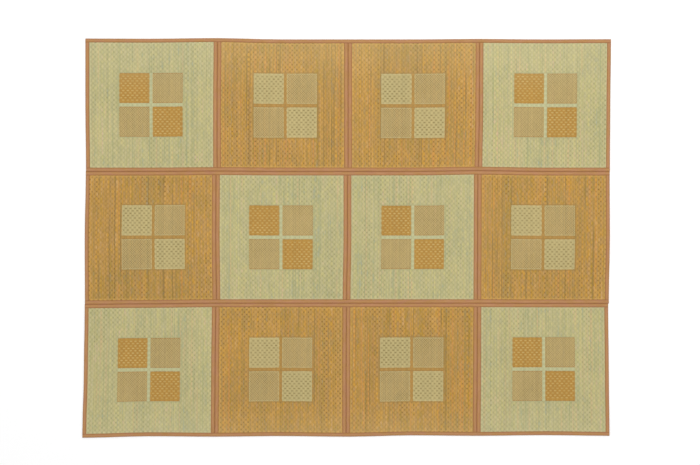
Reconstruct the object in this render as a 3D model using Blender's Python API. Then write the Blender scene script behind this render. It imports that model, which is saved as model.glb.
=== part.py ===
"""Rush rug lying flat: three rows of four woven squares, bound in folded cotton tape.

Metres, +Z up. The rug's long side runs along X, and it rests on Z = 0 with the middle of its
outline at the origin. Each square is a mat of its own. A side tape is folded over its left and
its right edge, and one long tape is folded over the whole upper and the whole lower edge of
each row of four. The tapes meet edge to edge where squares and rows are sewn together.
"""

import math
from collections import namedtuple

import bmesh
import bpy

# The even grid that the hand-made squares stray from
COLUMNS = 4
ROWS = 3
COLUMN_PITCH = 0.600
ROW_PITCH = 0.604
MILLIMETRE = 0.001

# Cloth
MAT_THICKNESS = 0.0032
RIM_THICKNESS = 0.0014
TAPE_WIDTH = 0.0176
TAPE_THICKNESS = 0.0008
CLEARANCE = 0.0003

# The tape's fold is half a circle round the mat's flattened rim
TAPE_HEIGHT = RIM_THICKNESS + 2 * (CLEARANCE + TAPE_THICKNESS)
FOLD_RADIUS = TAPE_HEIGHT / 2
RIM_BOTTOM = TAPE_THICKNESS + CLEARANCE

# How far in from a seam or an outer edge each surface starts
TAPE_INSET = CLEARANCE / 2
RIM_INSET = TAPE_INSET + FOLD_RADIUS
FIELD_INSET = TAPE_INSET + TAPE_WIDTH + CLEARANCE

# Points to each side of a square, and to the outer and inner face of a fold
SIDE_STEPS = 6
OUTER_FOLD_STEPS = 4
INNER_FOLD_STEPS = 2
SHARP_ANGLE = math.radians(40)

# How far the upright lines stray, in millimetres towards +X, at three heights of each row
UPRIGHT_LINES = ("left", "seam_1", "seam_2", "seam_3", "right")
UprightStray = namedtuple("UprightStray", ("row", "height", *UPRIGHT_LINES))
UPRIGHT_STRAYS = (
    UprightStray(0, "top", 6, 9, 5, 5, 5),
    UprightStray(0, "middle", 6, 7, 5, 4, 2),
    UprightStray(0, "bottom", 9, 7, 5, 0, 0),
    UprightStray(1, "top", 8, 2, 2, -3, -1),
    UprightStray(1, "middle", 3, 1, 2, -4, 0),
    UprightStray(1, "bottom", 4, 4, -2, -5, -5),
    UprightStray(2, "top", 3, 1, -3, -5, -8),
    UprightStray(2, "middle", -1, -2, -4, -6, -5),
    UprightStray(2, "bottom", -8, -4, -4, -8, -2),
)

# How far the level lines stray, in millimetres towards +Y, at each seam and halfway between
LEVEL_PLACES = (
    "left", "mid_1", "seam_1", "mid_2", "seam_2", "mid_3", "seam_3", "mid_4", "right"
)
LevelStray = namedtuple("LevelStray", ("line", *LEVEL_PLACES))
LEVEL_STRAYS = (
    LevelStray("upper edge", 3, 2, 5, -1, -1, -1, 1, -1, 0),
    LevelStray("upper joint", 0, 0, 2, 0, 0, 0, 4, 0, 0),
    LevelStray("lower joint", -2, 0, 3, 3, 3, 3, 3, 2, 2),
    LevelStray("lower edge", -7, 0, -2, 1, -2, 4, 2, 5, 2),
)

# The ground colour of each square, row by row
GROUNDS = (
    ("green", "brown", "brown", "green"),
    ("brown", "green", "green", "brown"),
    ("green", "brown", "brown", "green"),
)

# Finish: sRGB colour from 0 to 255, and roughness
Finish = namedtuple("Finish", "red green blue roughness")
FINISHES = {
    "green": Finish(190, 182, 132, 0.72),
    "brown": Finish(188, 148, 82, 0.70),
    "tape": Finish(186, 134, 92, 0.90),
}


def clear_scene():
    for thing in list(bpy.data.objects):
        bpy.data.objects.remove(thing, do_unlink=True)


def linear(value):
    """One sRGB channel from 0 to 255 as a linear value from 0 to 1."""
    part = value / 255
    return part / 12.92 if part <= 0.04045 else ((part + 0.055) / 1.055) ** 2.4


def make_material(name, finish):
    material = bpy.data.materials.new(name)
    material.use_nodes = True
    shader = material.node_tree.nodes["Principled BSDF"]
    colour = [linear(part) for part in (finish.red, finish.green, finish.blue)]
    shader.inputs["Base Color"].default_value = (*colour, 1.0)
    shader.inputs["Roughness"].default_value = finish.roughness
    shader.inputs["Metallic"].default_value = 0.0
    return material


def between(start, end, share):
    return start + (end - start) * share


def eased(values, place):
    """The value at a place among evenly spaced values, which soft S-curves join."""
    place = min(max(place, 0.0), len(values) - 1.0)
    first = min(int(place), len(values) - 2)
    share = (1.0 - math.cos(math.pi * (place - first))) / 2
    return between(values[first], values[first + 1], share)


def upright_x(row, line, down):
    """X of an upright line of one row, where down runs from 0 at its top to 1 at its bottom."""
    name = UPRIGHT_LINES[line]
    strays = [getattr(stray, name) for stray in UPRIGHT_STRAYS if stray.row == row]
    stray = eased(strays, down * (len(strays) - 1))
    return (line - COLUMNS / 2) * COLUMN_PITCH + stray * MILLIMETRE


def level_y(line, x):
    """Y of a level line at the given X."""
    strays = [getattr(LEVEL_STRAYS[line], place) for place in LEVEL_PLACES]
    share = x / (COLUMNS * COLUMN_PITCH) + 0.5
    stray = eased(strays, share * (len(strays) - 1))
    return (ROWS / 2 - line) * ROW_PITCH + stray * MILLIMETRE


def square_point(row, column, across, down, inset):
    """A point of one square's grid, after its four sides have moved in by the inset."""
    left = upright_x(row, column, down) + inset
    right = upright_x(row, column + 1, down) - inset
    x = between(left, right, across)
    y = between(level_y(row, x) - inset, level_y(row + 1, x) + inset, down)
    return x, y


def square_ring(row, column, inset, z):
    """Points round one square at one height, anticlockwise from above."""
    steps = [step / SIDE_STEPS for step in range(SIDE_STEPS)]
    round_it = (
        [(step, 1.0) for step in steps]
        + [(1.0, 1.0 - step) for step in steps]
        + [(1.0 - step, 0.0) for step in steps]
        + [(0.0, step) for step in steps]
    )
    return [
        (*square_point(row, column, across, down, inset), z)
        for across, down in round_it
    ]


def fold_arc(radius, steps):
    """The round of a fold, from its lower to its upper end, as (depth, height) points."""
    angles = [math.pi * (step / steps - 0.5) for step in range(steps + 1)]
    return [
        (FOLD_RADIUS - radius * math.cos(angle), FOLD_RADIUS + radius * math.sin(angle))
        for angle in angles
    ]


def tape_section():
    """The folded tape's cut end, as (depth in from the fold, height) points in order."""
    outer = fold_arc(FOLD_RADIUS, OUTER_FOLD_STEPS)
    inner = fold_arc(FOLD_RADIUS - TAPE_THICKNESS, INNER_FOLD_STEPS)
    outer_face = [(TAPE_WIDTH, 0.0), *outer, (TAPE_WIDTH, TAPE_HEIGHT)]
    inner_face = [
        (TAPE_WIDTH, TAPE_THICKNESS),
        *inner,
        (TAPE_WIDTH, TAPE_HEIGHT - TAPE_THICKNESS),
    ]
    return outer_face + inner_face[::-1]


def loft(name, rings, material, parent):
    """A closed solid through rings of points, with a flat face at each end."""
    solid = bmesh.new()
    loops = [[solid.verts.new(point) for point in ring] for ring in rings]
    count = len(rings[0])
    for lower, upper in zip(loops, loops[1:]):
        for step in range(count):
            following = (step + 1) % count
            solid.faces.new(
                (lower[step], lower[following], upper[following], upper[step])
            )
    solid.faces.new(loops[0][::-1])
    solid.faces.new(loops[-1])
    bmesh.ops.recalc_face_normals(solid, faces=solid.faces)
    mesh = bpy.data.meshes.new(name)
    solid.to_mesh(mesh)
    solid.free()
    mesh.shade_smooth()
    mesh.set_sharp_from_angle(angle=SHARP_ANGLE)
    mesh.materials.append(material)
    piece = bpy.data.objects.new(name, mesh)
    piece.parent = parent
    bpy.context.scene.collection.objects.link(piece)
    return piece


def make_mat(row, column, material, parent):
    """One woven square: a flat field with a thinner rim that goes into the tapes."""
    rim_top = RIM_BOTTOM + RIM_THICKNESS
    profile = (
        (FIELD_INSET, 0.0),
        (FIELD_INSET, RIM_BOTTOM),
        (RIM_INSET, RIM_BOTTOM),
        (RIM_INSET, rim_top),
        (FIELD_INSET, rim_top),
        (FIELD_INSET, MAT_THICKNESS),
    )
    rings = [square_ring(row, column, inset, z) for inset, z in profile]
    return loft(f"mat_r{row + 1}_c{column + 1}", rings, material, parent)


def make_side_tape(row, column, side, material, parent):
    """The tape folded over one upright edge, which stops where the long tapes start."""
    line = column if side == "left" else column + 1
    inwards = 1 if side == "left" else -1
    rings = []
    for step in range(SIDE_STEPS + 1):
        down = step / SIDE_STEPS
        edge_x = upright_x(row, line, down)
        ring = []
        for depth, z in tape_section():
            x = edge_x + inwards * (TAPE_INSET + depth)
            top = level_y(row, x) - FIELD_INSET
            bottom = level_y(row + 1, x) + FIELD_INSET
            ring.append((x, between(top, bottom, down), z))
        rings.append(ring)
    name = f"side_tape_r{row + 1}_c{column + 1}_{side}"
    return loft(name, rings, material, parent)


def long_tape_stations(row, down):
    """Where along X a long tape has a section: at its ends and above each mat's own points."""
    stations = [upright_x(row, 0, down) + TAPE_INSET]
    for column in range(COLUMNS):
        left = upright_x(row, column, down) + FIELD_INSET
        right = upright_x(row, column + 1, down) - FIELD_INSET
        stations += [
            between(left, right, step / SIDE_STEPS) for step in range(SIDE_STEPS + 1)
        ]
    stations.append(upright_x(row, COLUMNS, down) - TAPE_INSET)
    return stations


def make_long_tape(row, side, material, parent):
    """The tape folded over the whole upper or lower edge of one row of squares."""
    down = 0.0 if side == "upper" else 1.0
    line = row if side == "upper" else row + 1
    inwards = -1 if side == "upper" else 1
    rings = [
        [
            (x, level_y(line, x) + inwards * (TAPE_INSET + depth), z)
            for depth, z in tape_section()
        ]
        for x in long_tape_stations(row, down)
    ]
    return loft(f"long_tape_r{row + 1}_{side}", rings, material, parent)


def centre_outline(pieces, parent):
    """Moves the parent so that the middle of the whole outline is at the origin."""
    for axis in (0, 1):
        values = [point.co[axis] for piece in pieces for point in piece.data.vertices]
        parent.location[axis] = -(min(values) + max(values)) / 2


def main():
    clear_scene()
    materials = {
        name: make_material(f"{name}_cloth", finish)
        for name, finish in FINISHES.items()
    }
    rug = bpy.data.objects.new("rush_rug", None)
    bpy.context.scene.collection.objects.link(rug)
    pieces = []
    for row in range(ROWS):
        for column in range(COLUMNS):
            ground = materials[GROUNDS[row][column]]
            pieces.append(make_mat(row, column, ground, rug))
            for side in ("left", "right"):
                tape = make_side_tape(row, column, side, materials["tape"], rug)
                pieces.append(tape)
        for side in ("upper", "lower"):
            pieces.append(make_long_tape(row, side, materials["tape"], rug))
    centre_outline(pieces, rug)


main()
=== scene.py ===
import math
from collections import namedtuple

import bpy
import numpy as np
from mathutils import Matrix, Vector


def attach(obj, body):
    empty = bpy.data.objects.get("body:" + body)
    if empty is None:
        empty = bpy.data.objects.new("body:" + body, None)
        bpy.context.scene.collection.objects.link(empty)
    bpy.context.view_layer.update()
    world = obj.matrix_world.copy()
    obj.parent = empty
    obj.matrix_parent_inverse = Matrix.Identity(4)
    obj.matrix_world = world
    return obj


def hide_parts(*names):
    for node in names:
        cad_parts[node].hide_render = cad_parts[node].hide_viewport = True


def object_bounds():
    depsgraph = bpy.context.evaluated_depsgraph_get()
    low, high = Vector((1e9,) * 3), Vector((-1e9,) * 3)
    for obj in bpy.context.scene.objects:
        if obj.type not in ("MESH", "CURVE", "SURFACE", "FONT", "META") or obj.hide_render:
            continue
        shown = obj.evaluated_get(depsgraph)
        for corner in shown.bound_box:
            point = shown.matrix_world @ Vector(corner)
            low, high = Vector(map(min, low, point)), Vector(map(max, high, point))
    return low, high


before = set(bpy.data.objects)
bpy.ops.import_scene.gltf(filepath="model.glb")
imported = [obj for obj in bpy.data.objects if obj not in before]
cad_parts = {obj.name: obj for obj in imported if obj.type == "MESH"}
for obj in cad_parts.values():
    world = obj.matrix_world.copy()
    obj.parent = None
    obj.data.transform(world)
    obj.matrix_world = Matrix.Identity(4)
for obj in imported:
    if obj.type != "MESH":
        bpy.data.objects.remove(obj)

CAD_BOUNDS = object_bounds()
MM = 0.001
BODY = "root"
SAME_POINT = 0.00005
SAME_LEVEL = 0.0001
SHARP_ANGLE = math.radians(50)

# Camera straight above, as in the photograph of 700 x 465 pixels
PHOTO_WIDTH = 700
METRES_PER_PIXEL = 0.004563
VIEW_CENTRE = (0.0152, 0.0247)
LENS_MM = 85.0
SENSOR_MM = 36.0

# Rows and columns of mats, and which cloth each is woven in
ROWS = 3
COLUMNS = 4
GROUNDS = (
    ("green", "brown", "brown", "green"),
    ("brown", "green", "green", "brown"),
    ("green", "brown", "brown", "green"),
)

# How far each block of panes sits from the middle of its mat, in mm to the right and up
BLOCK_SHIFTS = (
    ((-1, 1), (12, -1), (-3, -2), (3, 0)),
    ((13, 2), (-3, 0), (1, 0), (-3, 0)),
    ((-3, 2), (0, 1), (0, 0), (3, 1)),
)

# Weave: bundles of stalks run along Y, and a warp thread ties every other bundle down
BUNDLE = 0.0105
WARP = 0.01095
STALK = BUNDLE / 7
STRAND = BUNDLE / 4
STREAK = BUNDLE / 2
MOST_BUNDLES = 40
COLUMNS_PER_BUNDLE = 3
LEAST_STEP = 0.0008
TIE_HALF_WIDTH = 0.0023
BUNDLE_CROWN = 0.00085
CROWN_POWER = 2.5
TIE_DEPTH = 0.00075
TIE_AT_GROOVE = 0.35
ARCH = 0.00015
LIFT_SPREAD = 0.00005
LIFTS = 400
PINCH = 0.0013
CREST_HEIGHT = 0.00318
SETTLE = 0.009
PANE_RELIEF = 0.45

# Width and height of the dots where bundles are tied down, and those of the fine panes,
# whose weave repeats at half the size
DOT_SIZE = (0.0104, 0.0076)
FINE_DOT_SIZE = (0.0054, 0.0042)
FINE_REPEAT = 0.5

# The block of four panes. A bold pane has a border of plain colour round its marked core
PANE = 0.137
PANE_SOFTNESS = 0.0004
PANE_JITTER = 0.0018
UPRIGHT_STRIP = 0.014
LEVEL_STRIP = 0.017
LOW_STRIP_TOP = (-0.0040, -0.0062)
LOW_STRIP_BOTTOM = (-0.0100, -0.0088)
BLOCK_MARGIN = 0.0065
PANE_BORDER = 0.011
BORDER_SOFTNESS = 0.002
SIDE_BORDER = (0.003, 0.006)
RULE = (0.0040, 0.0030)
DASH_WIDTH = 0.0150
DASH_HEIGHT = 0.0058

# Binding tape: section from the lower inner edge round the fold to the upper inner edge
# and back inside, in mm as (depth in from the fold, height). Points higher than UPPER_LAYER
# are in its upper layer
TAPE_WIDTH = 0.0176
TAPE_STEP = 0.010
TAPE_MIDDLE = 1.8
TAPE_SECTION = (
    (17.6, 0.05), (10.0, 0.0), (1.8, 0.0), (0.53, 0.53), (0.0, 1.8), (0.53, 3.07),
    (1.8, 3.6), (6.0, 3.66), (11.0, 3.72), (15.4, 3.62), (17.3, 3.42), (17.6, 3.05),
    (10.0, 2.82), (2.0, 2.8), (0.9, 1.8), (2.0, 0.8), (17.3, 0.75),
)
FOLD_POINT = 3
FIRST_INNER_POINT = 12
UPPER_LAYER = 2.5

# The tape's unevenness, in mm. The lengths of the waves and the ridge's width are in metres
PUCKER = 0.22
PUCKER_WAVE = 0.045
PUCKER_START = 1.9
PUCKER_SPAN = 17.0
PUCKER_POWER = 0.7
EDGE_WAVER = 0.30
WAVER_WAVE = 0.030
WAVER_START = 12
WAVER_RUN = 5.6
WAVER_BENEATH = 0.6
SEAM_RIDGE = 0.35
RIDGE_HALF_WIDTH = 0.016

# The tape's ends: long tapes close in a round, and side tapes reach out a little
END_ROUND = 0.0016
END_STATIONS = (0.0, 0.25, 0.7, 1.0)
END_CLEAR = 0.003
END_HEIGHT = 0.45
INSIDE_CLOSED = 0.02
END_REACH = 0.0002

# The pitch of the tape's threads, and how far on in the cloth each next tape starts, in metres
TAPE_THREADS = (0.0007, 0.0006)
CLOTH_OFFSET = 3.1

# The tape's light band, its dark bands of painted shade round the fold and along its inner edge,
# and its dents, as depths in from the fold in metres
FOLD_DARK = (0.0034, 0.0010)
EDGE_DARK = (0.0130, 0.0170)
LIGHT_MIDDLE = 0.0085
LIGHT_HALF_WIDTH = (0.0075, 0.0020)
DENT_DEPTH = (0.010, 0.0145)

# Sewing thread. The stitches' strays and first place are shares of their pitch
THREAD_RADIUS = 0.00038
EDGE_STITCH_PITCH = 0.009
EDGE_STITCH_HALF = 0.0024
EDGE_STITCH_DEPTH = 0.0146
WHIP_PITCH = 0.0065
WHIP_HALF = 0.0030
WHIP_LEAN = 0.0022
LAID_THREAD_HEIGHTS = (0.00272, 0.00140)
LAID_THREAD_RADIUS = 0.00035
LAID_TWIST = 0.4
STITCH_TOP = 0.00400
STITCH_TOP_STRAY = 0.00008
STITCH_TOP_SHARE = 0.6
STITCH_FOOT = 0.00345
STITCH_RADII = (0.45, 1.0, 1.0, 0.45)
STITCH_LENGTHS = (0.9, 1.1)
FIRST_STITCH = 0.75
STITCH_STRAY = 0.12
LOOK_AHEAD = 0.002
LINE_POINTS = 61

# Seeds of the random draws. Each mat, tape and piece of sewing adds its own number
ROW_SEED = 100
SIDE_TAPE_SEED = 100
LONG_TAPE_SEED = 300
EDGE_STITCH_SEED = 500
SEAM_STITCH_SEED = 520
JOINT_STITCH_SEED = 540

# Colours as sRGB from 0 to 255: the ground, then the panes, then the strips between them and
# the lines along their edges
Cloth = namedtuple(
    "Cloth",
    "dyes tie dark_stalk warm_stalk faded edge "
    "bold bold_dot bold_low fine_light fine_dark strip strip_low rule side_rule outline",
)
GREEN = Cloth(
    dyes=((162, 165, 136), (174, 168, 112), (182, 173, 132), (188, 180, 116), (195, 170, 138)),
    # tie: the warp at each tie, with painted shade in its dip
    tie=(150, 146, 97),
    dark_stalk=(148, 154, 112),
    warm_stalk=(196, 168, 122),
    faded=(196, 190, 148),
    edge=(196, 188, 142),
    bold=(176, 129, 42),
    bold_dot=(208, 182, 116),
    bold_low=(146, 96, 28),
    fine_light=(182, 154, 96),
    fine_dark=(126, 98, 42),
    strip=(182, 182, 138),
    strip_low=(180, 178, 134),
    rule=(156, 104, 40),
    side_rule=(172, 140, 84),
    outline=(166, 164, 118),
)
BROWN = Cloth(
    dyes=((158, 136, 96), (168, 132, 40), (176, 138, 86), (192, 142, 40), (192, 154, 102)),
    # tie: the warp at each tie, with painted shade in its dip
    tie=(132, 98, 38),
    dark_stalk=(126, 104, 54),
    warm_stalk=(200, 136, 64),
    faded=(200, 180, 126),
    edge=(206, 162, 84),
    bold=(182, 168, 116),
    bold_dot=(122, 104, 50),
    bold_low=(182, 168, 116),
    fine_light=(180, 160, 108),
    fine_dark=(122, 102, 50),
    strip=(168, 130, 65),
    strip_low=(156, 118, 58),
    rule=(190, 180, 130),
    side_rule=(188, 176, 126),
    outline=(148, 118, 62),
)

# Rush is paler towards the rug's two long edges. Each row fades between two heights in its mats,
# and the middle row's lie beyond its mats, so it doesn't fade
FADES = ((0.03, 0.30), (2.0, 3.0), (-0.12, -0.34))

# How strongly each colour covers the one beneath it
DARK_STALK_SHARE = 0.50
WARM_STALK_SHARE = 0.50
EDGE_SHARE = 0.35
STRIP_SHARE = 0.8
OUTLINE_SHARE = 0.48
DOTLESS_SHARE = 0.8
BOLD_SHARE = 0.88
BOLD_LOW_SHARE = 0.45
FINE_GROUND_SHARE = 0.22
RULE_SHARE = 0.45
LONG_EDGE_SHARE = 0.20

# How far each cause moves the dye along a cloth's row of dyes
STALK_DYE = 0.50
STREAK_DYE = 0.16
FLOAT_DYE = 0.16
LONG_RUN_DYE = 0.35
SHORT_RUN_DYE = 0.8
CLOUD_DYE = 0.7
MOTTLE_DYE = 0.4
DYE_BALANCE = 1.035

TAPE_PINK = (170, 120, 86)
TAPE_ORANGE = (168, 122, 72)
TAPE_LIGHT = (186, 141, 96)
# TAPE_DARK is the colour of the painted shade round the tape's fold and along its inner edge; it
# also darkens the sewing thread and its marks under the tape
TAPE_DARK = (144, 92, 48)
THREAD_COLOUR = (174, 119, 70)
FLOOR_COLOUR = (250, 250, 250)

# Floor and light
FLOOR_HALF = 20.0
FLOOR_DROP = 0.0002
FLOOR_ROUGHNESS = 0.95
SKY_STRENGTH = 0.88
LAMP_PLACE = (0.7, 2.5, 4.2)
LAMP_SIZE = 3.0
LAMP_POWER = 85.0


def linear(colour):
    """An sRGB colour from 0 to 255 as linear red, green, blue and alpha."""
    parts = [part / 255 for part in colour]
    return (
        *(
            part / 12.92 if part <= 0.04045 else ((part + 0.055) / 1.055) ** 2.4
            for part in parts
        ),
        1.0,
    )


class Number:
    """A number in a material's nodes. Plain arithmetic on it adds the nodes."""

    def __init__(self, graph, socket):
        self.graph = graph
        self.socket = socket

    def math(self, operation, *others):
        return self.graph.math(operation, self, *others)

    def __add__(self, other):
        return self.math("ADD", other)

    def __sub__(self, other):
        return self.math("SUBTRACT", other)

    def __rsub__(self, other):
        return self.graph.math("SUBTRACT", other, self)

    def __mul__(self, other):
        return self.math("MULTIPLY", other)

    def __truediv__(self, other):
        return self.math("DIVIDE", other)

    def __abs__(self):
        return self.math("ABSOLUTE")

    def floor(self):
        return self.math("FLOOR")

    def nearest(self):
        return (self + 0.5).floor()

    def between(self, start, end):
        """0 up to start and 1 past end, with a soft rise. It falls if start is past end."""
        return self.graph.between(self, start, end)


class Graph:
    """Short calls that build one material's nodes."""

    def __init__(self, name):
        self.material = bpy.data.materials.new(name)
        self.material.use_nodes = True
        self.nodes = self.material.node_tree.nodes
        self.links = self.material.node_tree.links
        self.shader = self.nodes["Principled BSDF"]

    def put(self, socket, value):
        if isinstance(value, Number):
            value = value.socket
        if isinstance(value, bpy.types.NodeSocket):
            self.links.new(value, socket)
        else:
            socket.default_value = value

    def set(self, **values):
        """Sets or links the shader's sockets, named with _ for each space."""
        for name, value in values.items():
            self.put(self.shader.inputs[name.replace("_", " ")], value)

    def math(self, operation, *values):
        node = self.nodes.new("ShaderNodeMath")
        node.operation = operation
        for socket, value in zip(node.inputs, values):
            self.put(socket, value)
        return Number(self, node.outputs[0])

    def between(self, value, start, end):
        node = self.nodes.new("ShaderNodeMapRange")
        node.interpolation_type = "SMOOTHSTEP"
        self.put(node.inputs["Value"], value)
        self.put(node.inputs["From Min"], start)
        self.put(node.inputs["From Max"], end)
        return Number(self, node.outputs["Result"])

    def attribute(self, name):
        """The three numbers of a mesh attribute."""
        node = self.nodes.new("ShaderNodeAttribute")
        node.attribute_name = name
        parts = self.nodes.new("ShaderNodeSeparateXYZ")
        self.links.new(node.outputs["Vector"], parts.inputs[0])
        return [Number(self, socket) for socket in parts.outputs]

    def vector(self, *values):
        node = self.nodes.new("ShaderNodeCombineXYZ")
        for socket, value in zip(node.inputs, values):
            self.put(socket, value)
        return node.outputs[0]

    def scatter(self, *values):
        """A random number from 0 to 1 for each set of whole numbers."""
        node = self.nodes.new("ShaderNodeTexWhiteNoise")
        node.noise_dimensions = "3D"
        self.put(node.inputs["Vector"], self.vector(*values))
        return Number(self, node.outputs["Value"])

    def noise(self, *values, detail=1.0):
        """Soft noise about 0.5, with about one wave for each whole number."""
        node = self.nodes.new("ShaderNodeTexNoise")
        self.put(node.inputs["Vector"], self.vector(*values))
        self.put(node.inputs["Scale"], 1.0)
        self.put(node.inputs["Detail"], detail)
        return Number(self, node.outputs[0])

    def mix(self, share, first, second, blend="MIX"):
        node = self.nodes.new("ShaderNodeMix")
        node.data_type = "RGBA"
        node.blend_type = blend
        self.put(node.inputs[0], share)
        self.put(node.inputs[6], first)
        self.put(node.inputs[7], second)
        return node.outputs[2]

    def ramp(self, value, colours):
        node = self.nodes.new("ShaderNodeValToRGB")
        stops = node.color_ramp.elements
        stops[0].position, stops[-1].position = 0.0, 1.0
        for place in range(1, len(colours) - 1):
            stops.new(place / (len(colours) - 1))
        for stop, colour in zip(stops, colours):
            stop.color = linear(colour)
        self.put(node.inputs[0], value)
        return node.outputs[0]

    def grey(self, value):
        """A number as a grey colour, to multiply others with."""
        node = self.nodes.new("ShaderNodeCombineColor")
        for socket in node.inputs:
            self.put(socket, value)
        return node.outputs[0]

    def bump(self, height, strength):
        node = self.nodes.new("ShaderNodeBump")
        node.inputs["Strength"].default_value = strength
        node.inputs["Distance"].default_value = MM
        self.put(node.inputs["Height"], height)
        self.links.new(node.outputs[0], self.shader.inputs["Normal"])


Ties = namedtuple("Ties", "bundle across tie along reach")


def dashes(graph, x, y, clear, seed):
    """Level dashes on the same ties, wider than a bundle, as the bold panes show them."""
    line = y / WARP
    row = line.nearest()
    place = x / (2 * BUNDLE) + row.math("FLOORED_MODULO", 2.0) * 0.5
    column = place.nearest()
    wide = (place - column) * (4 * BUNDLE / DASH_WIDTH)
    high = (line - row) * (2 * WARP / DASH_HEIGHT)
    reach = (wide * wide + high * high).math("SQRT")
    depth = graph.scatter(column, row, seed + 0.3) * 0.30 + clear * 0.40 + 0.16
    return reach.between(1.25, 0.45) * depth


def ties(graph, x, y, share, dot_width, dot_height):
    """The half-drop lattice of tied-down places, at a share of the weave's full repeat."""
    across = x / (BUNDLE * share)
    bundle = across.nearest()
    across = across - bundle
    odd = bundle.math("FLOORED_MODULO", 2.0)
    along = y / (2 * WARP * share) + odd * 0.5
    tie = along.nearest()
    along = along - tie
    wide = across * (2 * BUNDLE * share / dot_width)
    high = along * (4 * WARP * share / dot_height)
    reach = (wide * wide + high * high).math("SQRT")
    return Ties(bundle, across, tie, along, reach)


Panes = namedtuple("Panes", "bold fine core rule side_rule strip outline")


def pane_masks(x, y, top, jitter):
    """Shares that are 1 in each part of the block of panes, and 0 on the mat's underside."""
    far_x, far_y = abs(x), abs(y) + (jitter - 0.5) * PANE_JITTER
    start_x, start_y = UPRIGHT_STRIP / 2, LEVEL_STRIP / 2
    end_x, end_y = start_x + PANE, start_y + PANE
    soft = PANE_SOFTNESS
    in_x = far_x.between(start_x - soft, start_x + soft) * far_x.between(end_x + soft, end_x - soft)
    in_y = far_y.between(start_y - soft, start_y + soft) * far_y.between(end_y + soft, end_y - soft)
    pane = in_x * in_y * top
    bold = pane * (x * y).math("LESS_THAN", 0.0)
    from_middle_x = abs(far_x - (start_x + end_x) / 2)
    from_middle_y = abs(far_y - (start_y + end_y) / 2)
    half = PANE / 2
    core_half = half - PANE_BORDER
    core = from_middle_x.between(
        half - SIDE_BORDER[0], half - SIDE_BORDER[1]
    ) * from_middle_y.between(core_half + BORDER_SOFTNESS, core_half - BORDER_SOFTNESS)
    rule = pane * from_middle_y.between(half - RULE[0], half - RULE[1])
    side_rule = pane * from_middle_x.between(half - RULE[0], half - RULE[1])
    block = far_x.between(end_x + soft, end_x - soft) * far_y.between(end_y + soft, end_y - soft)
    near = (
        far_x.between(end_x + BLOCK_MARGIN + soft, end_x + BLOCK_MARGIN)
        * far_y.between(end_y + BLOCK_MARGIN + soft, end_y + BLOCK_MARGIN)
    )
    strip = block * top - pane
    outline = (near - block) * top
    return Panes(bold, pane - bold, core, rule, side_rule, strip, outline)


def ground_colour(graph, cloth, x, y, float_tint, seed):
    """Stalks in uneven dyes, with a few long dark ones and warm ones among them."""
    stalk = (x / STALK).floor()
    streak = (x / STREAK).floor()
    dye = (
        graph.scatter(stalk, seed, 1.0) * STALK_DYE
        + graph.scatter(streak, seed, 2.0) * STREAK_DYE
        + float_tint * FLOAT_DYE
        + graph.noise(streak * 3.7, y * 2.4, seed * 5.3) * LONG_RUN_DYE
        + graph.noise(streak * 6.1, y * 20.0, seed * 7.7) * SHORT_RUN_DYE
        + graph.noise(x * 9.0, y * 5.0, seed * 2.9) * CLOUD_DYE
        + graph.noise(x * 75.0, y * 45.0, seed * 1.3) * MOTTLE_DYE
        - DYE_BALANCE
    )
    colour = graph.ramp(dye, cloth.dyes)
    pick = graph.scatter(streak, seed, 11.0)
    run = graph.noise(streak * 5.1, y * 3.2, seed * 3.1).between(0.42, 0.56)
    dark = pick.between(0.90, 0.93) * run * DARK_STALK_SHARE
    colour = graph.mix(dark, colour, linear(cloth.dark_stalk))
    warm = pick.between(0.11, 0.08) * run * WARM_STALK_SHARE
    return graph.mix(warm, colour, linear(cloth.warm_stalk))


def marked_ground(graph, cloth, ground, y, inner, top, panes):
    """The ground, paler along the mat's edge, with the strips and the outline of its block."""
    edge = inner.between(0.012, 0.005) * top * EDGE_SHARE
    ground = graph.mix(edge, ground, linear(cloth.edge))
    low_strip = y.between(*LOW_STRIP_TOP) * y.between(*LOW_STRIP_BOTTOM)
    strip = graph.mix(low_strip, linear(cloth.strip), linear(cloth.strip_low))
    ground = graph.mix(panes.strip * STRIP_SHARE, ground, strip)
    return graph.mix(panes.outline * OUTLINE_SHARE, ground, linear(cloth.outline))


def tie_dots(graph, wide, panes, clear, seed):
    """How dark the weave is at each tie: partly the warp that shows there, partly painted shade
    where the bundle dips. It varies between ties, bundles and parts of a mat.
    """
    depth = (
        graph.scatter(wide.bundle, wide.tie, seed) * 0.35
        + graph.scatter(wide.bundle, seed, 13.0).between(0.3, 1.0) * 0.55
        + 0.25
    ) * clear
    plain = (panes.strip + panes.outline) * DOTLESS_SHARE
    return wide.reach.between(1.2, 0.3) * depth * (1.0 - plain)


def bold_colour(graph, cloth, ground, x, y, wide, panes, clear, seed):
    """A strong colour, deeper halfway between ties, with level dashes on the ties."""
    bold = graph.mix(BOLD_SHARE, ground, linear(cloth.bold))
    low = abs(wide.along).between(0.26, 0.44) * abs(wide.across).between(0.5, 0.1)
    bold = graph.mix(low * panes.core * BOLD_LOW_SHARE, bold, linear(cloth.bold_low))
    dash = dashes(graph, x, y, clear, seed) * panes.core
    return graph.mix(dash, bold, linear(cloth.bold_dot))


def pane_colours(graph, cloth, ground, bold, check, panes):
    """The ground with both kinds of pane laid over it, and the lines along their edges."""
    fine = graph.mix(check, linear(cloth.fine_light), linear(cloth.fine_dark))
    fine = graph.mix(FINE_GROUND_SHARE, fine, ground)
    colour = graph.mix(panes.bold, ground, bold)
    colour = graph.mix(panes.fine, colour, fine)
    colour = graph.mix(panes.side_rule * RULE_SHARE, colour, linear(cloth.side_rule))
    return graph.mix(panes.rule * RULE_SHARE, colour, linear(cloth.rule))


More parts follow.
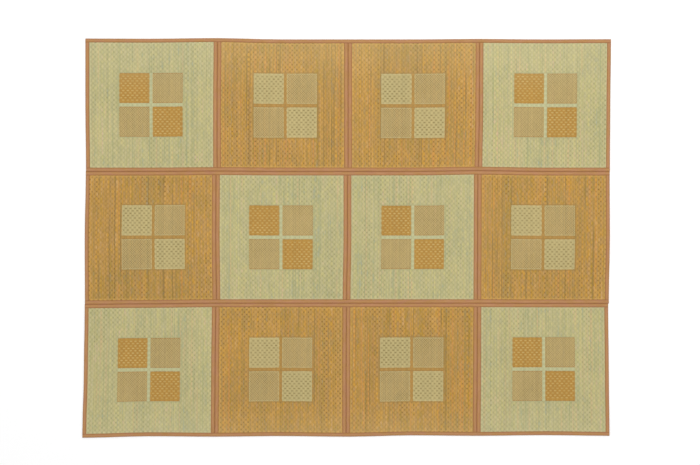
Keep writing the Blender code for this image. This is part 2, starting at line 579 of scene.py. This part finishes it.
def rush_shade(graph, x, y, wide, float_tint, stalk, stalk_round, seed):
    """How light the rush is: uneven over a mat and from stalk to stalk, with painted shade at each
    stalk's sides and in the grooves between bundles, and a painted highlight on each float halfway
    between its ties.
    """
    groove = abs(wide.across).between(0.34, 0.5)
    return (
        graph.noise(x * 3.0, y * 3.0, seed * 1.7) * 0.10
        + graph.scatter(stalk.nearest(), seed, 3.0) * 0.14
        + float_tint * 0.05
        + stalk_round * 0.10
        - groove * 0.06
        + abs(wide.along).between(0.2, 0.5) * 0.08
        + 0.76
    )


def rush_material(name, cloth, seed, fade):
    """Woven rush: dyed stalks along Y, tied-down dots, and a block of panes on the top."""
    graph = Graph(name)
    x, y, inner = graph.attribute("weave")
    top = inner.math("GREATER_THAN", 0.0)
    wide = ties(graph, x, y, 1.0, *DOT_SIZE)
    small = ties(graph, x, y, FINE_REPEAT, *FINE_DOT_SIZE)
    panes = pane_masks(x, y, top, graph.scatter((x / STRAND).floor(), seed, 7.0))
    float_number = (y / (2 * WARP) + wide.bundle * 0.5).floor()
    float_tint = graph.scatter(wide.bundle, float_number, seed + 0.5)

    ground = ground_colour(graph, cloth, x, y, float_tint, seed)
    ground = marked_ground(graph, cloth, ground, y, inner, top, panes)
    clear = graph.noise(x * 6.0, y * 6.0, seed * 4.7).between(0.35, 0.62) * 0.60 + 0.40
    dot = tie_dots(graph, wide, panes, clear, seed)
    # The dots at the ties: the warp's colour together with painted shade in each dip
    ground = graph.mix(dot, ground, linear(cloth.tie))
    bold = bold_colour(graph, cloth, ground, x, y, wide, panes, clear, seed)
    check = small.reach.between(1.3, 0.4) * (clear * 0.5 + 0.5)
    colour = pane_colours(graph, cloth, ground, bold, check, panes)
    # Paler towards the rug's long edges: the top row towards its top, the bottom row towards its
    # bottom
    colour = graph.mix(y.between(*fade) * top * LONG_EDGE_SHARE, colour, linear(cloth.faded))

    # Each stalk is round and lighter in its middle: painted shade at its sides, and a rise in the
    # bump
    stalk = x / STALK
    stalk_off = stalk - stalk.nearest()
    stalk_round = 1.0 - stalk_off * stalk_off * 4.0
    shade = rush_shade(graph, x, y, wide, float_tint, stalk, stalk_round, seed)
    graph.set(Base_Color=graph.mix(1.0, colour, graph.grey(shade), "MULTIPLY"))
    graph.set(Roughness=graph.noise(x * 90.0, y * 12.0, seed) * 0.22 + 0.50)
    graph.set(Specular_IOR_Level=0.32)
    fibre = graph.noise(x * 2600.0, y * 60.0, seed, detail=2.0)
    tie_pit = graph.math("MAXIMUM", dot * 0.5, panes.fine * check * 0.8)
    graph.bump(stalk_round * 0.40 + fibre * 0.12 - tie_pit, 0.7)
    return graph.material


def tape_material():
    """Plain-woven cotton tape, with painted shade round the fold and along its inner edge."""
    graph = Graph("cotton_tape")
    along, depth, side = graph.attribute("cloth")
    slub = graph.noise(depth * 900.0, along * 22.0, side * 9.0, detail=2.0)
    patch = graph.noise(along * 7.0, depth * 60.0, side * 5.0)
    thread_x = along / TAPE_THREADS[0]
    thread_y = depth / TAPE_THREADS[1]
    weft = abs(thread_x - thread_x.nearest())
    warp = abs(thread_y - thread_y.nearest())
    odd = (thread_x.nearest() + thread_y.nearest()).math("FLOORED_MODULO", 2.0)
    hue = graph.noise(along * 24.0, depth * 90.0, side * 3.0)
    colour = graph.mix(hue.between(0.35, 0.65), linear(TAPE_PINK), linear(TAPE_ORANGE))
    middle = abs(depth - LIGHT_MIDDLE).between(*LIGHT_HALF_WIDTH)
    colour = graph.mix(slub.between(0.3, 0.75) * middle * 0.8, colour, linear(TAPE_LIGHT))
    # Painted shade: darker round the fold, where it curves under and where two tapes meet in a
    # groove, and along the inner edge, where the tape slopes down to the mat
    dark = depth.between(*FOLD_DARK) * 0.34 + depth.between(*EDGE_DARK) * 0.5
    colour = graph.mix(dark, colour, linear(TAPE_DARK))
    from_stitch = along / EDGE_STITCH_PITCH
    from_stitch = abs(from_stitch - from_stitch.nearest())
    stitch_line = abs(depth - EDGE_STITCH_DEPTH).between(THREAD_RADIUS * 1.3, THREAD_RADIUS)
    below = from_stitch.between(0.27, 0.23) * stitch_line * side.math("LESS_THAN", 0.5)
    colour = graph.mix(below, colour, linear(THREAD_COLOUR))
    colour = graph.mix(below * 0.8, colour, linear(TAPE_DARK))
    # Uneven in patches and lighter on every other crossing of the weave, with painted shade in the
    # hollows between the threads
    shade = patch * 0.16 + odd * 0.05 - (weft + warp) * 0.06 + 0.92
    graph.set(Base_Color=graph.mix(1.0, colour, graph.grey(shade), "MULTIPLY"))
    graph.set(Roughness=slub * 0.12 + 0.80)
    graph.set(Specular_IOR_Level=0.2, Sheen_Weight=0.15, Sheen_Roughness=0.5)
    dent = from_stitch.between(0.35, 0.5) * depth.between(*DENT_DEPTH)
    graph.bump(odd * 0.10 - (weft + warp) * 0.16 - dent * 0.25 + patch * 0.3 + below * 0.4, 0.6)
    return graph.material


def thread_material():
    """Two-ply sewing cotton."""
    graph = Graph("sewing_thread")
    along, turn, number = graph.attribute("cloth")
    ply = (along * 9.0 + turn).math("SINE")
    tint = graph.scatter(number, 2.0, 5.0)
    colour = graph.mix(tint * 0.45, linear(THREAD_COLOUR), linear(TAPE_DARK))
    # Darker along the groove of the twist between the two plies: painted shade
    graph.set(Base_Color=graph.mix(1.0, colour, graph.grey(ply * 0.05 + 0.95), "MULTIPLY"))
    graph.set(Roughness=tint * 0.1 + 0.62)
    graph.bump(ply * 0.12, 0.5)
    return graph.material


def plain_material(name, colour, roughness):
    graph = Graph(name)
    graph.set(Base_Color=linear(colour), Roughness=roughness, Specular_IOR_Level=0.1)
    return graph.material


def add_piece(name, points, faces, material, attribute, values):
    """A closed mesh that rides on the rug, with one mesh attribute for its material."""
    mesh = bpy.data.meshes.new(name)
    mesh.from_pydata([tuple(point) for point in points], [], faces)
    made = mesh.attributes.new(attribute, "FLOAT_VECTOR", "POINT")
    made.data.foreach_set("vector", np.asarray(values, np.float32).ravel())
    mesh.materials.append(material)
    mesh.shade_smooth()
    mesh.set_sharp_from_angle(angle=SHARP_ANGLE)
    piece = bpy.data.objects.new(name, mesh)
    bpy.context.scene.collection.objects.link(piece)
    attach(piece, BODY)
    return piece


def eased(share):
    """A share from 0 to 1 that starts and ends softly."""
    return share * share * (3 - 2 * share)


def grid_faces(rows, columns):
    """Faces of a grid of points, and the numbers of the points round it, anticlockwise."""
    index = np.arange(rows * columns).reshape(rows, columns)
    corners = (index[:-1, :-1], index[:-1, 1:], index[1:, 1:], index[1:, :-1])
    faces = np.stack(corners, -1).reshape(-1, 4).tolist()
    edge = np.concatenate(
        [index[0, :-1], index[:-1, -1], index[-1, :0:-1], index[:0:-1, 0]]
    )
    return faces, edge


def tube_faces(first, rings, sides):
    """Faces of a tube with closed ends, made of rings of points that start at first."""
    faces = []
    for ring in range(rings - 1):
        low = first + sides * ring
        high = low + sides
        for step in range(sides):
            after = (step + 1) % sides
            faces.append((low + step, low + after, high + after, high + step))
    last = first + sides * (rings - 1)
    faces.append(tuple(range(first, first + sides))[::-1])
    faces.append(tuple(range(last, last + sides)))
    return faces


def mat_name(row, column):
    return f"mat_r{row + 1}_c{column + 1}"


def side_tape_name(row, column, side):
    return f"side_tape_r{row + 1}_c{column + 1}_{side}"


def long_tape_name(row, side):
    return f"long_tape_r{row + 1}_{side}"


def node_points(name):
    """The different points of a CAD node's mesh, which has some points more than once."""
    points = np.array([tuple(v.co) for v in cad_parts[name].data.vertices])
    gaps = np.linalg.norm(points[:, None] - points[None], axis=2)
    first = np.argmax(gaps < SAME_POINT, axis=1)
    return points[np.unique(first)]


def square_sides(points):
    """The bottom, right, top and left side of a square's outline, each a line of points.

    The bottom and top run to the right, and the left and right side run up."""
    centred = points - (points.min(0) + points.max(0)) / 2
    loop = points[np.argsort(np.arctan2(centred[:, 1], centred[:, 0]))]
    corners = [int(np.argmax(loop @ sign)) for sign in ((-1, -1), (1, -1), (1, 1), (-1, 1))]
    loop = np.roll(loop, -corners[0], axis=0)
    cuts = [(corner - corners[0]) % len(loop) for corner in corners] + [len(loop)]
    closed = np.vstack([loop, loop[:1]])
    bottom, right, top, left = [
        closed[start : end + 1] for start, end in zip(cuts, cuts[1:])
    ]
    return bottom, right, top[::-1], left[::-1]


def mat_loops(name):
    """The outline of a mat's field and of its rim, and its four heights."""
    points = node_points(name)
    levels = np.unique(points[:, 2].round(4))
    field = points[np.isclose(points[:, 2], levels[0], atol=SAME_LEVEL)][:, :2]
    both = points[np.isclose(points[:, 2], levels[1], atol=SAME_LEVEL)][:, :2]
    gaps = np.linalg.norm(both[:, None] - field[None], axis=2).min(1)
    return square_sides(field), square_sides(both[gaps > MM]), levels


def on_side(side, axis, share):
    """Points of a side at shares of its extent along an axis."""
    places = (side[:, axis] - side[0, axis]) / (side[-1, axis] - side[0, axis])
    return np.stack([np.interp(share, places, side[:, part]) for part in (0, 1)], -1)


def patch(sides, u, v):
    """Points inside a square outline, at shares u across and v up."""
    bottom, right, top, left = sides
    across, up = u[..., None], v[..., None]
    corners = (
        (1 - across) * (1 - up) * bottom[0]
        + across * (1 - up) * bottom[-1]
        + across * up * top[-1]
        + (1 - across) * up * top[0]
    )
    return (
        (1 - up) * on_side(bottom, 0, u)
        + up * on_side(top, 0, u)
        + (1 - across) * on_side(left, 1, v)
        + across * on_side(right, 1, v)
        - corners
    )


def shares(width, shift, places):
    """Where weave lines cut a side, as shares from 0 to 1 with both ends."""
    found = (np.array(places) + shift) / width + 0.5
    margin = LEAST_STEP / width
    return np.concatenate([[0.0], found[(found > margin) & (found < 1 - margin)], [1.0]])


def weave_relief(x, y, rng):
    """Height of the woven top against an even crest, at places in the weave in metres."""
    across = x / BUNDLE
    bundle = np.floor(across + 0.5)
    across = across - bundle
    along = y / (2 * WARP) + 0.5 * (bundle % 2)
    along = along - np.floor(along + 0.5)
    crown = 1 - np.abs(2 * across) ** CROWN_POWER
    tie = np.exp(-((along * 2 * WARP / TIE_HALF_WIDTH) ** 2))
    arch = (1 - np.cos(2 * np.pi * along)) / 2
    lift = rng.normal(0.0, LIFT_SPREAD, LIFTS)[bundle.astype(int) + LIFTS // 2]
    sink = tie * (TIE_AT_GROOVE + (1 - TIE_AT_GROOVE) * crown)
    height = BUNDLE_CROWN * (crown - 1) + ARCH * (arch - 1) + lift - TIE_DEPTH * sink
    return height * np.where(in_fine_pane(x, y), PANE_RELIEF, 1.0)


def in_fine_pane(x, y):
    far_x, far_y = np.abs(x), np.abs(y)
    in_x = (far_x > UPRIGHT_STRIP / 2) & (far_x < UPRIGHT_STRIP / 2 + PANE)
    in_y = (far_y > LEVEL_STRIP / 2) & (far_y < LEVEL_STRIP / 2 + PANE)
    return in_x & in_y & (x * y > 0)


def bundle_pinch(x, y):
    """How far the cloth moves along X where a bundle is tied and its neighbours spread."""
    sway = np.sin(np.pi * x / BUNDLE) * np.cos(np.pi * y / WARP)
    return np.where(in_fine_pane(x, y), 0.0, -PINCH * sway)


def weave_lines(size, shift):
    """Shares across and up a mat at which its top has points: over bundles and round ties."""
    lines = range(-MOST_BUNDLES, MOST_BUNDLES + 1)
    steps = [step / COLUMNS_PER_BUNDLE - 0.5 for step in range(COLUMNS_PER_BUNDLE)]
    uprights = [(line + step) * BUNDLE for line in lines for step in steps]
    round_tie = (-TIE_HALF_WIDTH, 0.0, TIE_HALF_WIDTH)
    levels = [line * WARP + step for line in lines for step in round_tie]
    return shares(size[0], shift[0], uprights), shares(size[1], shift[1], levels)


def mat_top(field, edge_z, size, shift, across, up, rng):
    """Points of a mat's woven top, and their places in the weave.

    The third number of a place is the distance in from the mat's edge, plus a millimetre."""
    weave_x = (across - 0.5) * size[0] - shift[0]
    weave_y = (up - 0.5) * size[1] - shift[1]
    relief = weave_relief(weave_x, weave_y, rng)
    inner = np.minimum(
        np.minimum(across, 1 - across) * size[0], np.minimum(up, 1 - up) * size[1]
    )
    settle = eased(np.clip(inner / SETTLE, 0, 1))
    moved = across + bundle_pinch(weave_x, weave_y) * settle / size[0]
    top_z = edge_z + (CREST_HEIGHT + relief - edge_z) * settle
    points = np.dstack([patch(field, moved, up), top_z]).reshape(-1, 3)
    places = np.dstack([weave_x, weave_y, inner + MM]).reshape(-1, 3)
    return [*points], [*places]


def close_mat(points, places, faces, edge, edge_shares, loops):
    """Adds a mat's rim and underside, ring by ring, and the flat face beneath.

    Each loop is an outline, its height and the third number of its places in the weave,
    which is negative on the underside."""
    previous = edge
    after = np.roll(np.arange(len(edge)), -1)
    for outline, z, side in loops:
        ring = np.arange(len(edge)) + len(points)
        points += [(x, y, z) for x, y in patch(outline, *edge_shares)]
        places += [(places[k][0], places[k][1], side) for k in edge]
        faces += np.stack([previous, ring, ring[after], previous[after]], -1).tolist()
        previous = ring
    faces.append(previous[::-1].tolist())


def make_mat(row, column, material):
    """One woven mat, with its top in relief and a flat rim and underside."""
    name = mat_name(row, column)
    field, rim, (bottom, rim_bottom, rim_top, _) = mat_loops(name)
    size = np.array([line[-1, axis] - line[0, axis] for line, axis in zip(field, (0, 1))])
    shift = np.array(BLOCK_SHIFTS[row][column]) * MM
    across, up = np.meshgrid(*weave_lines(size, shift))
    rng = np.random.default_rng(ROW_SEED * row + column)
    points, places = mat_top(field, rim_top, size, shift, across, up, rng)
    faces, edge = grid_faces(*across.shape)
    edge_shares = (across.ravel()[edge], up.ravel()[edge])
    loops = (
        (rim, rim_top, MM),
        (rim, rim_bottom, -MM),
        (field, rim_bottom, -MM),
        (field, bottom, -MM),
    )
    close_mat(points, places, faces, edge, edge_shares, loops)
    piece = add_piece(f"woven_{name}", points, faces, material, "weave", places)
    piece.data.polygons[len(faces) - 1].use_smooth = False
    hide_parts(name)


def tape_lines(name, axis, outwards):
    """The fold line and the inner edge line of a CAD tape, as points along it.

    They are found from the points where the fold is halfway to its lowest, because each
    ring of the tape has just one of these."""
    points = node_points(name)
    depth, height = TAPE_SECTION[FOLD_POINT]
    level = points[np.isclose(points[:, 2], height * MM, atol=SAME_POINT)][:, :2]
    fold = level[np.argsort(level[:, axis])]
    fold[:, 1 - axis] += outwards * depth * MM
    edge = fold.copy()
    edge[:, 1 - axis] -= outwards * TAPE_WIDTH
    return fold, edge


def resampled(line, places):
    """Points of a line at shares of its length."""
    run = np.concatenate([[0], np.cumsum(np.linalg.norm(np.diff(line, axis=0), axis=1))])
    return np.stack([np.interp(places * run[-1], run, line[:, axis]) for axis in (0, 1)], -1)


def line_length(line):
    return float(np.linalg.norm(np.diff(line, axis=0), axis=1).sum())


def reach_out(line, distance):
    """Moves both ends of a line out along it."""
    ahead = (line[-1] - line[0]) / np.linalg.norm(line[-1] - line[0])
    line[0] -= ahead * distance
    line[-1] += ahead * distance


def slow_waves(rng, places, wavelength):
    """A smooth random line from about -1 to 1 along places in metres."""
    knots = np.arange(places[0] - wavelength, places[-1] + 2 * wavelength, wavelength / 2)
    values = rng.uniform(-1, 1, len(knots))
    share = np.interp(places, knots, np.arange(len(knots)))
    low = np.clip(np.floor(share).astype(int), 0, len(knots) - 2)
    part = eased(share - low)
    return values[low] * (1 - part) + values[low + 1] * part


def tape_stations(length, closed_ends):
    """Places along a tape, in metres, at which it has a section."""
    steps = max(2, round(length / TAPE_STEP))
    metres = np.linspace(0, length, steps + 1)
    if closed_ends:
        near = np.array(END_STATIONS) * END_ROUND
        inside = metres[(metres > END_CLEAR) & (metres < length - END_CLEAR)]
        metres = np.concatenate([near, inside, (length - near)[::-1]])
    return metres


def tape_unevenness(places, metres, seams, seed):
    """How far the upper layer rises and the inner edge draws in at each station, in mm."""
    rng = np.random.default_rng(seed)
    puckers = slow_waves(rng, metres, PUCKER_WAVE) * PUCKER
    wavers = (slow_waves(rng, metres, WAVER_WAVE) + 1) / 2 * EDGE_WAVER
    for seam in seams:
        near_seam = np.abs(places - seam) / RIDGE_HALF_WIDTH
        puckers = puckers + SEAM_RIDGE * np.clip(1 - near_seam**2, 0, 1)
    return puckers, wavers


def end_heights(metres, length):
    """The height of the section near a closed end, as a share of its full height."""
    end = np.clip(np.minimum(metres, length - metres) / END_ROUND, 0, 1)
    return np.sqrt(1 - (1 - end) ** 2) * (1 - END_HEIGHT) + END_HEIGHT


def tape_point(number, pucker, waver, height, closed_ends):
    """Depth and height in mm of one point of a section, and whether it is in the upper layer."""
    depth, z = TAPE_SECTION[number]
    upper = z > UPPER_LAYER
    far = min(max((depth - WAVER_START) / WAVER_RUN, 0.0), 1.0)
    depth -= waver * far * (1.0 if upper else WAVER_BENEATH)
    if upper and depth > PUCKER_START and number < FIRST_INNER_POINT:
        z += pucker * math.sin(math.pi * min(depth / PUCKER_SPAN, 1.0)) ** PUCKER_POWER
    if closed_ends and number > FIRST_INNER_POINT:
        height = max(INSIDE_CLOSED, (height - END_HEIGHT) / (1 - END_HEIGHT))
    return depth, TAPE_MIDDLE + (z - TAPE_MIDDLE) * height, upper


def make_tape(name, axis, outwards, seams, closed_ends, seed, material):
    """One folded tape, with a soft ridge at each place where a seam of squares meets it."""
    fold, edge = tape_lines(name, axis, outwards)
    length = line_length(fold)
    metres = tape_stations(length, closed_ends)
    fold = resampled(fold, metres / length)
    edge = resampled(edge, metres / length)
    if not closed_ends:
        reach_out(fold, END_REACH)
        reach_out(edge, END_REACH)
    puckers, wavers = tape_unevenness(fold[:, axis], metres, seams, seed)
    heights = end_heights(metres, length) if closed_ends else np.ones_like(metres)
    points, values = [], []
    for station, uneven in enumerate(zip(puckers, wavers, heights)):
        inwards = (edge[station] - fold[station]) / TAPE_WIDTH
        metre = metres[station] + CLOTH_OFFSET * seed
        for number in range(len(TAPE_SECTION)):
            depth, z, upper = tape_point(number, *uneven, closed_ends)
            x, y = fold[station] + inwards * depth * MM
            points.append((x, y, z * MM))
            values.append((metre, depth * MM, 1.0 if upper else 0.0))
    faces = tube_faces(0, len(metres), len(TAPE_SECTION))
    if outwards * (1 if axis == 0 else -1) < 0:
        faces = [face[::-1] for face in faces]
    piece = add_piece(f"bound_{name}", points, faces, material, "cloth", values)
    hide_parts(name)
    return piece, length


def stitch(points, values, faces, spine, side, number):
    """Adds one stitch: a thread that comes up, lies along the spine and goes down again."""
    first = len(points)
    turns = (0.0, 0.5 * math.pi, math.pi, 1.5 * math.pi)
    for place, (centre, share) in enumerate(zip(spine, STITCH_RADII)):
        for turn in turns:
            around = side * math.cos(turn) + np.array([0.0, 0.0, math.sin(turn)])
            points.append(tuple(centre + around * THREAD_RADIUS * share))
            values.append((place, turn, number))
    faces += tube_faces(first, len(STITCH_RADII), len(turns))


def laid_thread(points, values, faces, line, height):
    """Adds a thread that is laid along a seam at one height, as a four-sided tube."""
    first = len(points)
    ahead = np.gradient(line, axis=0)
    ahead /= np.linalg.norm(ahead, axis=1)[:, None]
    corners = ((1.0, 0.0), (0.0, 1.0), (-1.0, 0.0), (0.0, -1.0))
    for place, (centre, along) in enumerate(zip(line, ahead)):
        side = np.array([-along[1], along[0]])
        for turn, (out, rise) in enumerate(corners):
            x, y = centre + side * out * LAID_THREAD_RADIUS
            points.append((x, y, height + rise * LAID_THREAD_RADIUS))
            values.append((LAID_TWIST * place, turn, 0.0))
    faces += tube_faces(first, len(line), len(corners))


def stitch_row(points, values, faces, line, pitch, direction_of, half, rng):
    """Stitches along a line of ground points, each laid the way direction_of says."""
    length = line_length(line)
    count = max(1, int(length / pitch) - 1)
    stray = rng.uniform(-STITCH_STRAY, STITCH_STRAY, count)
    places = (np.arange(count) + FIRST_STITCH + stray) * pitch / length
    centres = resampled(line, places)
    ahead = resampled(line, np.clip(places + LOOK_AHEAD, 0, 1))
    ahead = ahead - resampled(line, places - LOOK_AHEAD)
    ahead /= np.linalg.norm(ahead, axis=1)[:, None]
    for number, (centre, along) in enumerate(zip(centres, ahead)):
        lay = direction_of(along)
        lay = lay / np.linalg.norm(lay)
        reach = half * rng.uniform(*STITCH_LENGTHS)
        top = STITCH_TOP + rng.uniform(-STITCH_TOP_STRAY, STITCH_TOP_STRAY)
        spine = [
            np.array([*(centre - lay * reach), STITCH_FOOT]),
            np.array([*(centre - lay * reach * STITCH_TOP_SHARE), top]),
            np.array([*(centre + lay * reach * STITCH_TOP_SHARE), top]),
            np.array([*(centre + lay * reach), STITCH_FOOT]),
        ]
        side = np.array([-lay[1], lay[0], 0.0])
        stitch(points, values, faces, spine, side, number)


def add_stitches(name, rows, material, seed, laid=False):
    """One piece from several rows of (line, pitch, direction, half length).

    A seam also has threads laid along it, which close the clearance between its tapes."""
    points, values, faces = [], [], []
    rng = np.random.default_rng(seed)
    for line, pitch, direction_of, half in rows:
        stitch_row(points, values, faces, line, pitch, direction_of, half, rng)
        if laid:
            for height in LAID_THREAD_HEIGHTS:
                laid_thread(points, values, faces, line, height)
    add_piece(name, points, faces, material, "cloth", values)


def along_tape(along):
    """An edge stitch lies along its tape."""
    return along


def across_seam(along):
    """A whip stitch crosses the seam and leans along it."""
    return np.array([-along[1], along[0]]) * WHIP_HALF + along * WHIP_LEAN


def edge_row(name, axis, outwards):
    """The row of stitches along the inner edge of a tape."""
    places = np.linspace(0, 1, LINE_POINTS)
    fold, edge = [resampled(line, places) for line in tape_lines(name, axis, outwards)]
    line = fold + (edge - fold) * (EDGE_STITCH_DEPTH / TAPE_WIDTH)
    return line, EDGE_STITCH_PITCH, along_tape, EDGE_STITCH_HALF


SIDE_TAPES = (("left", -1), ("right", 1))
LONG_TAPES = (("upper", 1), ("lower", -1))


def seam_row(first, second, axis):
    """The row of whip stitches between two tapes that are sewn fold to fold."""
    one, _ = tape_lines(first, axis, 1)
    other, _ = tape_lines(second, axis, -1)
    places = np.linspace(0, 1, LINE_POINTS)
    line = (resampled(one, places) + resampled(other, places)) / 2
    return line, WHIP_PITCH, across_seam, WHIP_HALF


def make_mats():
    cloths = {"green": GREEN, "brown": BROWN}
    for row in range(ROWS):
        for column in range(COLUMNS):
            kind = GROUNDS[row][column]
            name = f"rush_{kind}_{row + 1}{column + 1}"
            seed = COLUMNS * row + column + 1.0
            make_mat(row, column, rush_material(name, cloths[kind], seed, FADES[row]))


def make_side_tapes(row, material):
    """Both side tapes of each mat in a row. Returns their rows of edge stitches."""
    edges = []
    for column in range(COLUMNS):
        for number, (side, outwards) in enumerate(SIDE_TAPES):
            name = side_tape_name(row, column, side)
            seed = SIDE_TAPE_SEED + 10 * (COLUMNS * row + column) + number
            piece, length = make_tape(name, 1, outwards, (), False, seed, material)
            edges.append(edge_row(name, 1, outwards))
    return edges


def make_long_tapes(row, seams, material):
    """Both long tapes of a row. Returns their rows of edge stitches."""
    edges = []
    for number, (side, outwards) in enumerate(LONG_TAPES):
        name = long_tape_name(row, side)
        end = -1 if side == "upper" else 0
        places = [line[end][0] for line, *_ in seams]
        seed = LONG_TAPE_SEED + 10 * row + number
        piece, length = make_tape(name, 0, outwards, places, True, seed, material)
        edges.append(edge_row(name, 0, outwards))
    return edges


def make_rug():
    tape = tape_material()
    thread = thread_material()
    make_mats()
    for row in range(ROWS):
        edges = make_side_tapes(row, tape)
        seams = [
            seam_row(
                side_tape_name(row, column, "right"), side_tape_name(row, column + 1, "left"), 1
            )
            for column in range(COLUMNS - 1)
        ]
        edges += make_long_tapes(row, seams, tape)
        add_stitches(f"edge_stitches_r{row + 1}", edges, thread, EDGE_STITCH_SEED + row)
        name = f"seam_stitches_r{row + 1}"
        add_stitches(name, seams, thread, SEAM_STITCH_SEED + row, laid=True)
    for row in range(ROWS - 1):
        joint = seam_row(long_tape_name(row + 1, "upper"), long_tape_name(row, "lower"), 0)
        name = f"joint_stitches_{row + 1}"
        add_stitches(name, [joint], thread, JOINT_STITCH_SEED + row, laid=True)


def make_camera():
    data = bpy.data.cameras.new("camera")
    data.lens = LENS_MM
    data.sensor_width = SENSOR_MM
    camera = bpy.data.objects.new("camera", data)
    height = PHOTO_WIDTH * METRES_PER_PIXEL * LENS_MM / SENSOR_MM
    camera.location = (*VIEW_CENTRE, CAD_BOUNDS[1].z + height)
    bpy.context.scene.collection.objects.link(camera)
    bpy.context.scene.camera = camera


def make_floor():
    mesh = bpy.data.meshes.new("floor")
    corners = ((-1, -1), (1, -1), (1, 1), (-1, 1))
    points = [(x * FLOOR_HALF, y * FLOOR_HALF, -FLOOR_DROP) for x, y in corners]
    mesh.from_pydata(points, [], [(0, 1, 2, 3)])
    mesh.materials.append(plain_material("pale_floor", FLOOR_COLOUR, FLOOR_ROUGHNESS))
    floor = bpy.data.objects.new("floor", mesh)
    bpy.context.scene.collection.objects.link(floor)


def make_light():
    world = bpy.data.worlds.new("studio")
    world.use_nodes = True
    sky = world.node_tree.nodes["Background"]
    sky.inputs["Color"].default_value = (1.0, 1.0, 1.0, 1.0)
    sky.inputs["Strength"].default_value = SKY_STRENGTH
    bpy.context.scene.world = world
    lamp = bpy.data.lights.new("softbox", "AREA")
    lamp.shape = "SQUARE"
    lamp.size = LAMP_SIZE
    lamp.energy = LAMP_POWER
    softbox = bpy.data.objects.new("softbox", lamp)
    softbox.location = LAMP_PLACE
    softbox.rotation_euler = (-Vector(LAMP_PLACE)).to_track_quat("-Z", "Y").to_euler()
    bpy.context.scene.collection.objects.link(softbox)
    bpy.context.scene.view_settings.view_transform = "Standard"


make_camera()
make_floor()
make_light()
make_rug()
